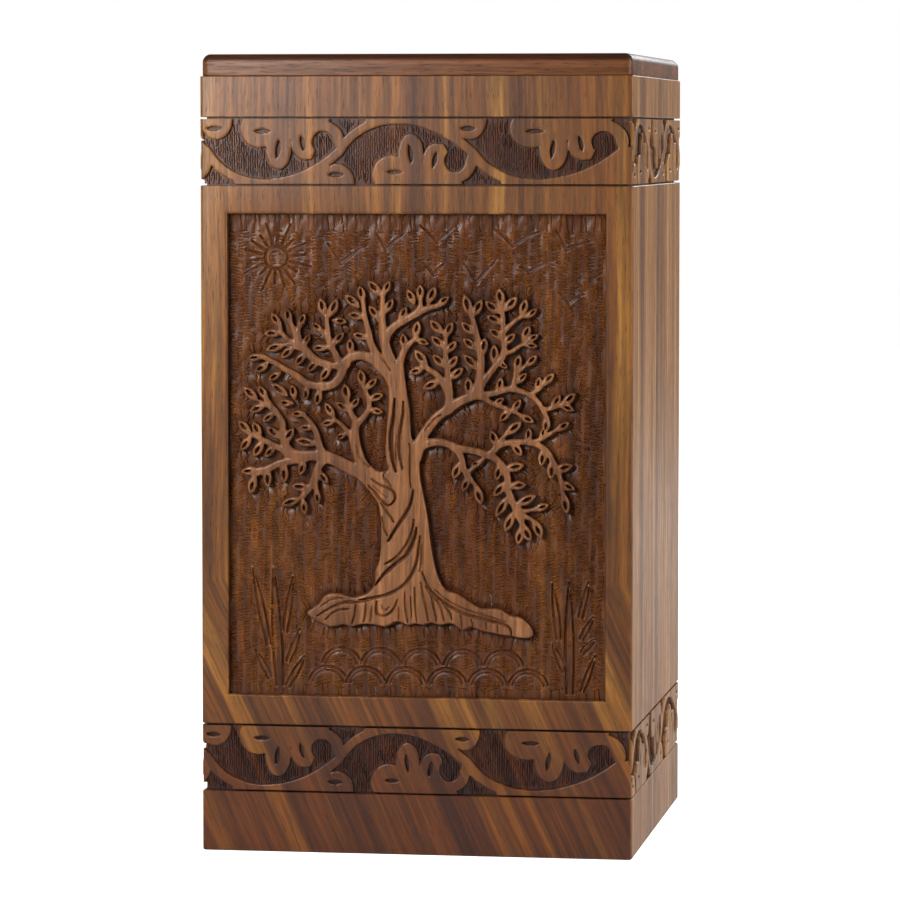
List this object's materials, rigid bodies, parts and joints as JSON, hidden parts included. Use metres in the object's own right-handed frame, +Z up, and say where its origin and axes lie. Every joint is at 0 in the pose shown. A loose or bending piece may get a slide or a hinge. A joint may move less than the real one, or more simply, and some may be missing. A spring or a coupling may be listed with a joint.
{
  "type": "cremation urn box",
  "caption": "Tall square hardwood urn box with mitred walls, a sunk carved tree panel, leafy scroll bands, a rounded top board and a screwed base panel.",
  "frame": {"origin": "middle of the footprint, on the surface the box stands on", "axes": "+Z up along the height; the carved tree panel faces -Y; +X to the right of a viewer facing it"},
  "size_m": [0.159, 0.159, 0.292],
  "materials": {
    "rosewood_front": "satin lacquer over carved rosewood",
    "rosewood_walls": "satin lacquer",
    "rosewood_top": "satin lacquer",
    "base_wood": "sanded and waxed",
    "screw_brass": "dull brass"
  },
  "bodies": {
    "root": {"front_board": "rosewood_front", "back_board": "rosewood_walls", "left_board": "rosewood_walls", "right_board": "rosewood_walls", "top_board": "rosewood_top", "base_panel": "base_wood", "base_screw_1": "screw_brass", "base_screw_2": "screw_brass", "base_screw_3": "screw_brass", "base_screw_4": "screw_brass"}
  },
  "joints": []
}
